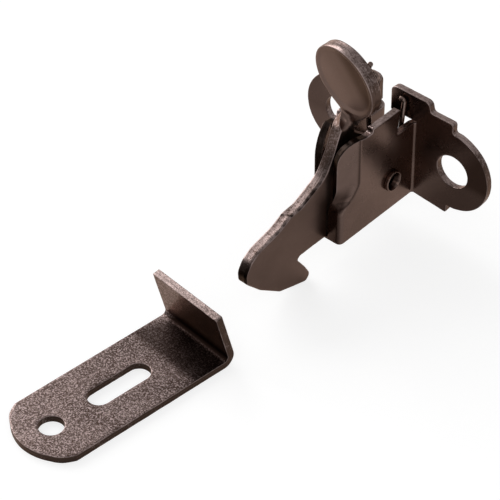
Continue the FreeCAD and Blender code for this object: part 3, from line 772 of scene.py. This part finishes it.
def strike_fold(u, v, w):
    """The flat strike bent at one line: v below the line is the plate, then an arc about the
    bend's centre, then the lip leaning back over the plate. It is turned where it lies."""
    half = STRIKE_SHEET / 2
    outer = STRIKE_BEND + STRIKE_SHEET
    middle = STRIKE_BEND + half
    bend = math.pi / 2 + STRIKE_LEAN
    past = outer - v
    angle = np.clip(past / middle, 0, bend)
    radius = middle - w
    straight = np.clip(past - middle * bend, 0, None)
    along = np.where(past > 0, outer - radius * np.sin(angle) - straight * math.cos(bend), v)
    height = np.where(past > 0, outer - radius * np.cos(angle) + straight * math.sin(bend), half + w)
    cos, sin = math.cos(STRIKE_TURN), math.sin(STRIKE_TURN)
    side = STRIKE_PLACE[0] + u * cos + along * sin
    forward = STRIKE_PLACE[1] + along * cos - u * sin
    return side, forward, height - HOOK_DEPTH


def strike_loops():
    """Blank of the strike: straight sides, a round end, one round hole and one slot."""
    half = STRIKE_WIDTH / 2
    outer = STRIKE_BEND + STRIKE_SHEET
    middle = STRIKE_BEND + STRIKE_SHEET / 2
    bend = math.pi / 2 + STRIKE_LEAN
    rise = (STRIKE_LIP - outer - outer * math.sin(STRIKE_LEAN)) / math.cos(STRIKE_LEAN)
    top = outer - middle * bend - rise
    centre = STRIKE_LENGTH - STRIKE_END_RADIUS
    spread = math.asin(half / STRIKE_END_RADIUS)
    shoulder = centre + STRIKE_END_RADIUS * math.cos(spread)
    end = [(u, v, radius) for v, u, radius in arc_corners(centre, 0, STRIKE_END_RADIUS, spread, -spread, 4)]
    corners = [(-half, top, 0.25), (half, top, 0.25), (half, shoulder, 0.3), *end, (-half, shoulder, 0.3)]
    outline = blank(corners, 0.2)
    inset, hole_radius = STRIKE_HOLE
    hole = circle(0, STRIKE_LENGTH - inset, hole_radius, 0.2)
    width, near, far, radius = STRIKE_SLOT
    slot_box = [(-width / 2, near), (width / 2, near), (width / 2, far), (-width / 2, far)]
    slot = even(rounded(slot_box, radius), 0.2)
    return [outline, hole, slot]


def strike_painted_shade_and_reflection(u, v, w, cut):
    """Painted shade and painted reflection of lip and plate in each other: dark on the lip's inner
    face and on the plate before it, fading out forward and to the left, with a thin lighter line
    along the foot of the bend."""
    foot = STRIKE_BEND + STRIKE_SHEET
    # Painted shade and painted reflection on the lip's inner face and the plate before it.
    lip = smooth(-v, -foot, -foot + 0.8) * (0.88 - 0.55 * smooth(-u - 0.9 * v, 4.5, 7.5))
    plate = 0.72 * smooth(-v, -9.6, -7.6) * smooth(v, -1.0, foot) * smooth(u + 0.4 * v, -6.5, -4.0)
    line = bell(v - foot + 0.2, 0, 0.22)
    film = np.where(w > 0, np.clip(lip + plate, 0, 1) * (1 - 0.6 * line), 0.5)
    return film * (1 - smooth(cut, 0.2, 0.8))


points, faces, marks = cut_sheet(strike_loops(), STRIKE_SHEET / 2, STRIKE_ARRIS, 0.4, strike_fold, strike_painted_shade_and_reflection)
finish_piece("strike_angle", points, faces, STRIKE_FINISH, "strike", "bracket_body", marks)


# ---- rivet ----

def rivet_profile():
    """Side and radius along the rivet's skin: domed head, shank, rolled rim, bore and the bore's
    drilled end."""
    head_radius, head_height = RIVET_HEAD
    rim_radius, rim_height = RIVET_RIM
    left, right = -HALF_WIDTH, HALF_WIDTH
    mouth = right + rim_height
    corners = [
        (left - head_height, 0, 0), (left - 0.88, 1.4, 3.0), (left - 0.30, head_radius - 0.15, 0.4),
        (left, head_radius, 0.12), (left, RIVET_RADIUS, 0.05), (right, RIVET_RADIUS, 0.05),
        (right, rim_radius, 0.10), (mouth, rim_radius, 0.15), (mouth, RIVET_RADIUS + 0.06, 0.12),
        (right + 0.30, 1.45, 0.5), (right - 0.30, RIVET_BORE, 0.4), (-2.7, RIVET_BORE, 0.2), (-3.27, 0, 0),
    ]
    return rounded([c[:2] for c in corners], [c[2] for c in corners], closed=False, arc=7)


profile = rivet_profile()
points, faces = turned(profile, PIVOT, RIVET_SIDES)
side, reach = np.vstack([np.repeat(profile[1:-1], RIVET_SIDES, axis=0), profile[[0, -1]]]).T
# Painted shade inside the rivet's bore.
bore_shade = {"painted_shade_and_dark_marks": 0.95 * (reach < RIVET_RADIUS - 0.03) * (side > -3.5)}
finish_piece("tubular_rivet", points, faces, RIVET_FINISH, "pivot_rivet", "bracket_body", bore_shade)


# ---- spring ----

def spring_line():
    """Centre line of the wire: a nib and a straight leg that leans on the ear tab, one and a
    half shrinking turns about the rivet, and a leg up to a small hook behind the disc."""
    near = LEVER_SHEET / 2 + LEVER_GAP + WIRE
    far = HALF_WIDTH - SHEET - COIL_GAP - WIRE
    inner = RIVET_RADIUS + COIL_GAP + WIRE
    seat, top = WIRE + TAB_GAP, FIXED_LEG_TOP
    back, rise = PIVOT[0] - seat, top - PIVOT[1]
    lean = math.atan2(back, rise) - math.asin((inner + COIL_GROWTH) / math.hypot(back, rise))
    share = np.linspace(0, 1, 160)
    ease = smooth(share, 0, 1)
    radius = inner + COIL_GROWTH * (1 - ease)
    angle = math.pi + lean + share * (3 * math.pi - lean - ACTIVE_LEG_LEAN)
    coil = np.stack([
        far + (near - far) * ease,
        PIVOT[0] + radius * np.cos(angle),
        PIVOT[1] + radius * np.sin(angle),
    ], axis=1)
    start, end = coil[0], coil[-1]
    fixed = rounded([(far - FIXED_LEG_NIB, seat, top), (far, seat, top), tuple(start)], 0.6, closed=False)
    knee = (near, end[1] + math.tan(ACTIVE_LEG_LEAN) * (ACTIVE_LEG_KNEE - end[2]), ACTIVE_LEG_KNEE)
    active = rounded([tuple(end), knee, *WIRE_HOOK], [0, 1.6, 0.6, 0.6, 0], closed=False)
    return even(np.vstack([fixed[:-1], coil, active[1:]]), 0.16, closed=False)


points, faces = tube(to_frame(*spring_line().T), WIRE * 0.001, 20)
spring_piece = finish_piece("spring_wire", points, faces, SPRING_FINISH, "torsion_spring")
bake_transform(spring_piece)


# ---- bracket ----

def cheek_corners():
    """Outer and inner plan points of the leaning cheek: crease and front corner."""
    angle = 0.3
    for _ in range(8):
        angle = math.atan2(HALF_WIDTH - SLOT_HALF - SHEET * math.cos(angle), CHEEK_FRONT - CHEEK_START)
    outer = (SLOT_HALF + SHEET * math.cos(angle), CHEEK_FRONT)
    inner = (SLOT_HALF, CHEEK_FRONT - SHEET * math.sin(angle))
    crease = (HALF_WIDTH - SHEET, CHEEK_START - SHEET * math.tan(angle / 2))
    return outer, inner, crease


def plan_line(share, inner, outer, through):
    """Side and forward at a share, from 0 to 3, of the way along evenly numbered stops, between
    the sheet's inner line and its outer one."""
    count = np.linspace(0, 3, len(inner))
    return [
        np.interp(share, count, inner[:, k]) * (1 - through) + np.interp(share, count, outer[:, k]) * through
        for k in (0, 1)]


def bend_stops(low, corner, radius, end, count=12):
    """Plan points, count to each run: straight, quarter bend about the corner, straight."""
    angle = np.linspace(0, math.pi / 2, count)
    arc = np.array(corner) - radius * (1 - np.stack([np.cos(angle), np.sin(angle)], axis=1))
    before = np.linspace(low, arc[0], count)[:-1]
    after = np.linspace(arc[-1], end, count)[1:]
    return np.vstack([before, arc, after])


def lean_stops(low, crease, end, count=12, soften=0.35):
    """Plan points, count to each run: to the crease, two thirds of the lean, the last third.
    The crease itself is eased over a short way."""
    third = np.array(crease) + (np.array(end) - np.array(crease)) * 2 / 3
    before = np.linspace(low, crease, count)[:-1]
    after = np.linspace(third, end, count)[1:]
    line = np.vstack([before, np.linspace(crease, third, count), after])
    eased = line.copy()
    eased[1:-1] = line[1:-1] * (1 - soften) + (line[:-2] + line[2:]) * soften / 2
    return eased


def front_plan(share, height, w):
    """Side and forward of the front of a wall: the bend into the web below the blend, the
    leaning cheek above it, and between them a smooth mix of the two."""
    outer, inner, crease = cheek_corners()
    back = CHANNEL_DEPTH - SHEET
    wall_out, wall_in = (HALF_WIDTH, WALL_REAR), (HALF_WIDTH - SHEET, WALL_REAR)
    low_out = bend_stops(wall_out, (HALF_WIDTH, CHANNEL_DEPTH), WEB_OUTER, (SLOT_HALF, CHANNEL_DEPTH))
    low_in = bend_stops(wall_in, (HALF_WIDTH - SHEET, back), WEB_INNER, (SLOT_HALF, back))
    high_out = lean_stops(wall_out, (HALF_WIDTH, CHEEK_START), outer)
    high_in = lean_stops(wall_in, crease, inner)
    through = (w + SHEET / 2) / SHEET
    mix = smooth(height, BLEND_LOW - 1.6, BLEND_HIGH + 1.4)
    low = plan_line(share, low_in, low_out, through)
    high = plan_line(share, high_in, high_out, through)
    return [low[k] * (1 - mix) + high[k] * mix for k in (0, 1)]


def front_mark(forward):
    """Blank position of a forward distance on the cheek or the wall."""
    third = CHEEK_START + (CHEEK_FRONT - CHEEK_START) * 2 / 3
    places = [0, EAR_BEND, WALL_REAR, CHEEK_START, third, CHEEK_FRONT]
    return float(np.interp(forward, places, [BEND_LENGTH - EAR_BEND, BEND_LENGTH, *FRONT_MARKS]))


def bracket_fold(u, v, w):
    """The flat half-bracket folded: the ear lies on the door, u from 0 turns about the ear's
    bend into the wall, and the front runs follow front_plan. The tab above the relief cut
    stays in the ear's plane, and past the front runs the web goes on to the middle. The blank
    holds that tab squeezed, so that it doesn't run into the wall tab beside it. The cheek's
    crease and the step under the cheek are pressed in a little deeper than the fold, each as a
    bell curve across its line."""
    crease = bell(u, front_mark(CHEEK_START), 0.22) * smooth(v, 8.2, 9.4)
    step = smooth(u, front_mark(CHEEK_START - 0.4), front_mark(CHEEK_START + 0.3))
    step = step * smooth(-u, -front_mark(CHEEK_FRONT - 0.2), -front_mark(CHEEK_FRONT - 2.2))
    step = step * bell(v, 8.35, 0.25)
    w = w - (0.10 * crease + 0.16 * step) * np.clip(w / SHEET + 0.5, 0, 1)
    middle = EAR_BEND + SHEET / 2
    flat_side, flat_forward = FRONT_FOOT - u, w - SHEET / 2
    angle = np.clip(u / middle, 0, math.pi / 2)
    radius = middle - w
    past = np.clip(u - BEND_LENGTH, 0, None)
    side = FRONT_FOOT - radius * np.sin(angle)
    forward = EAR_BEND - radius * np.cos(angle) + past
    in_ear = (u <= 0) | ((v > BEND_TOP + RELIEF / 2) & (u < TAB_END / TAB_SQUEEZE + 0.04))
    flat_side = np.where(u > 0, FRONT_FOOT - u * TAB_SQUEEZE, flat_side)
    side, forward = np.where(in_ear, flat_side, side), np.where(in_ear, flat_forward, forward)
    front_side, front_forward = front_plan(np.interp(u, FRONT_MARKS, [0, 1, 2, 3]), v, w)
    beyond = np.clip(u - FRONT_MARKS[-1], 0, None)
    in_front = (u > REAR_MARK) & ~in_ear
    side = np.where(in_front, front_side - beyond, side)
    forward = np.where(in_front, front_forward, forward)
    return side, forward, v


def bracket_outline(tab_end):
    """Blank of one half: bottom edge, web, slot, cheek, wall tab, relief cut, ear tab, shelf
    and the ear's round lobe. Ear corners are given by their side, which runs against u."""
    lobe_side, lobe_height, lobe_radius = EAR_LOBE
    ear_top, top = EAR_TOP
    shelf, shelf_height = EAR_SHELF
    bottom, foot = EAR_BOTTOM
    tab_start, tab_stop, tab_height = WALL_TAB
    upper = lobe_height + math.sqrt(lobe_radius ** 2 - (shelf - lobe_side) ** 2)
    lower = lobe_height - math.sqrt(lobe_radius ** 2 - (bottom - lobe_side) ** 2)
    end = FRONT_MARKS[-1]
    corners = [
        (0, 0, 0.3),
        (end + SLOT_HALF, 0, 0.0),
        (end + SLOT_HALF, STOP_HEIGHT, 0.0),
        (end, STOP_HEIGHT, 0.15),
    ]
    for angle in np.linspace(0, math.pi / 2, 7):
        forward = CHEEK_FRONT - CHEEK_ROUND * (1 - math.cos(angle))
        corners.append((front_mark(forward), CHEEK_HEIGHT - CHEEK_ROUND * (1 - math.sin(angle)), 1.0))
    corners += [
        (front_mark(tab_stop + 0.8), CHEEK_HEIGHT - 0.4, 0.4),
        (front_mark(tab_stop), CHEEK_HEIGHT - 0.4, 0.35),
        (front_mark(tab_stop), tab_height, 0.4),
        (front_mark(tab_start), tab_height, 0.4),
        (front_mark(WALL_TAB_FOOT), BEND_TOP, 0.3),
        (0.1, BEND_TOP, 0.1),
        (0.1, BEND_TOP + RELIEF, 0.1),
        (tab_end, BEND_TOP + RELIEF, 0.1),
        (tab_end, top, 1.1),
        (FRONT_FOOT - ear_top, top, 1.1),
        (FRONT_FOOT - ear_top - 0.4, shelf_height, 0.6),
        (FRONT_FOOT - shelf, shelf_height, 0.6),
        (FRONT_FOOT - shelf, upper, 0.5),
    ]
    start = math.atan2(upper - lobe_height, lobe_side - shelf)
    finish = 2 * math.pi + math.atan2(lower - lobe_height, lobe_side - bottom)
    corners += arc_corners(FRONT_FOOT - lobe_side, lobe_height, lobe_radius, start, finish, 9)
    corners += [(FRONT_FOOT - bottom, lower, 0.2), (FRONT_FOOT - bottom, foot, 0.4)]
    return blank(corners, 0.15)


def bracket_painted_shade_and_reflection(u, v, w, cut):
    """Painted shade on the ear, a painted reflection of the dark ear on the wall's rear upper part,
    painted shade on the front below the cheek, and painted shade in the cheek's pressed L-shaped
    mark: along its crease and the line under it that drops towards the front. The cut edges of
    cheek and slot get painted shade too."""
    bend, front = front_mark(CHEEK_START), front_mark(CHEEK_FRONT)
    # Painted shade along the cheek's crease and the pressed step under it.
    crease = bell(u, bend, 0.24) * smooth(v, 7.6, 8.6)
    drop = v - 8.0 + 0.42 * (u - bend)
    under = bell(drop, 0, 0.24) * smooth(u, bend - 0.3, bend + 0.2) * smooth(-u, -bend - 3.6, -bend - 1.5)
    # Painted reflection of the dark ear on the wall's rear upper part.
    rear = 0.25 * smooth(-u, -BEND_LENGTH - 7.5, -BEND_LENGTH - 5.5) * smooth(v, 6.0, 8.5)
    # Painted shade on the ear, deepening outwards and downwards.
    ear = smooth(-u, -BEND_LENGTH * 0.6, 0.2) * (0.05 + 0.72 * smooth(-u - 0.7 * v, -6.0, 5.0))
    # Painted shade on the front below the cheek.
    web = 0.8 * smooth(u, front - 3.2, front - 2.2) * smooth(-v, -11.5, -9.0)
    film = np.where(w > 0, np.clip(ear + rear + web + 0.9 * crease + 0.8 * under, 0, 1), 0.3)
    # Painted shade on the cut edges of cheek and slot.
    cheek_edge = 0.95 * smooth(u, front_mark(12.0), front_mark(13.0)) * smooth(v, 0.6, 1.0)
    shear = smooth(cut, 0.2, 0.8)
    return film * (1 - shear) + cheek_edge * shear


def mirrored_fold(u, v, w):
    """The bracket's left half: the right half's fold with its side turned over."""
    side, forward, height = bracket_fold(u, v, w)
    return -side, forward, height


def mirrored_painted_shade_and_reflection(u, v, w, cut):
    """The left half, whose ear gets less painted shade than the right one."""
    return bracket_painted_shade_and_reflection(u, v, w, cut) * (1 - 0.4 * smooth(-u, -BEND_LENGTH, 0.2) * (1 - cut))


def folded_halves():
    """Right and left half of the bracket as one set of points, faces and marks. The left one is
    its own blank, because its ear has no tab, folded and turned over: a mirrored sheet's faces
    look outwards where the right one's have to be reversed."""
    screw_hole = circle(FRONT_FOOT - HOLE_SIDE, HOLE_HEIGHT, HOLE_RADIUS, 0.16)
    rivet_hole = circle(BEND_LENGTH + PIVOT[0] - EAR_BEND, PIVOT[1], RIVET_RADIUS, 0.16)
    points, faces, marks, offset = [], [], [], 0
    for fold, painted_shade_and_dark_marks, tab, turn in (
            (bracket_fold, bracket_painted_shade_and_reflection, TAB_END, -1), (mirrored_fold, mirrored_painted_shade_and_reflection, EAR_BEND, 1)):
        loops = [bracket_outline(tab / TAB_SQUEEZE), screw_hole, rivet_hole]
        half_points, half_faces, half_marks = cut_sheet(loops, SHEET / 2, BRACKET_ARRIS, 0.3, fold, painted_shade_and_dark_marks)
        faces += [[corner + offset for corner in face[::turn]] for face in half_faces]
        points.append(half_points)
        marks.append(half_marks)
        offset += len(half_points)
    return np.vstack(points), faces, {label: np.concatenate([half[label] for half in marks]) for label in marks[0]}


points, faces, marks = folded_halves()
finish_piece("folded_bracket", points, faces, BRACKET_FINISH, "bracket", "bracket_body", marks)


# ---- floor, light and camera ----

def lay_floor():
    """Pale level floor just under the hook and the strike. The camera sees it almost white with
    the object's shadow, and the metal sees it as a lit table."""
    level = (-HOOK_DEPTH - HOLE_HEIGHT) * 0.001 - FLOOR_GAP
    ends = [(x * FLOOR_SIZE, y * FLOOR_SIZE, level) for x, y in ((-1, -1), (1, -1), (1, 1), (-1, 1))]
    mesh = bpy.data.meshes.new("floor")
    mesh.from_pydata(ends, [], [(0, 1, 2, 3)])
    floor = put("floor", mesh)
    paint = bpy.data.materials.new("floor_paint")
    paint.use_nodes = True
    tree = paint.node_tree
    coat = tree.nodes["Principled BSDF"]
    coat.inputs["Base Color"].default_value = (0.8, 0.8, 0.8, 1)
    coat.inputs["Roughness"].default_value = 0.9
    lit = add(tree, "ShaderNodeEmission", values={"Strength": 0.22})
    table = add(tree, "ShaderNodeAddShader", links={0: coat.outputs[0], 1: lit.outputs[0]})
    faint = add(tree, "ShaderNodeBsdfDiffuse", values={"Color": (0.35, 0.35, 0.35, 1)})
    glow = add(tree, "ShaderNodeEmission", values={"Strength": 0.75})
    backdrop = add(tree, "ShaderNodeAddShader", links={0: faint.outputs[0], 1: glow.outputs[0]})
    seen = tree.nodes.new("ShaderNodeLightPath").outputs["Is Camera Ray"]
    both = add(tree, "ShaderNodeMixShader", links={0: seen, 1: table.outputs[0], 2: backdrop.outputs[0]})
    tree.links.new(both.outputs[0], tree.nodes["Material Output"].inputs["Surface"])
    mesh.materials.append(paint)


def softbox(name, at, size, power):
    """Square lamp that faces the catch."""
    lamp = bpy.data.lights.new(name, "AREA")
    lamp.size = size
    lamp.energy = power
    piece = put(name, lamp)
    piece.location = at
    piece.rotation_euler = (Vector(LAMP_AIM) - Vector(at)).to_track_quat("-Z", "Y").to_euler()


def light_studio():
    """Even white sky, one large lamp low on the left and a weak small one in front."""
    world = bpy.data.worlds.new("studio")
    bpy.context.scene.world = world
    world.use_nodes = True
    sky = world.node_tree.nodes["Background"]
    sky.inputs["Color"].default_value = (1, 1, 1, 1)
    sky.inputs["Strength"].default_value = SKY_STRENGTH
    softbox("side_softbox", (-1.00, 0.05, 0.50), 1.0, 10.0)
    softbox("front_softbox", (0.25, -0.45, 0.50), 0.25, 0.3)


def set_camera():
    """Long lens at the photo's angle: it looks along CAMERA_AIM, rolled a little from upright."""
    lens = bpy.data.cameras.new("camera")
    lens.lens = CAMERA_LENS
    lens.sensor_width = 36
    lens.clip_start = 0.01
    lens.clip_end = 20
    camera = put("camera", lens)
    ahead = Vector(CAMERA_AIM).normalized()
    level = ahead.cross(Vector((0, 0, 1))).normalized()
    upright = level.cross(ahead)
    right = level * math.cos(CAMERA_ROLL) + upright * math.sin(CAMERA_ROLL)
    up = upright * math.cos(CAMERA_ROLL) - level * math.sin(CAMERA_ROLL)
    camera.matrix_world = Matrix.Translation(CAMERA_PLACE) @ Matrix((right, up, -ahead)).transposed().to_4x4()
    bpy.context.scene.camera = camera


lay_floor()
light_studio()
set_camera()
bpy.context.scene.view_settings.view_transform = "Standard"
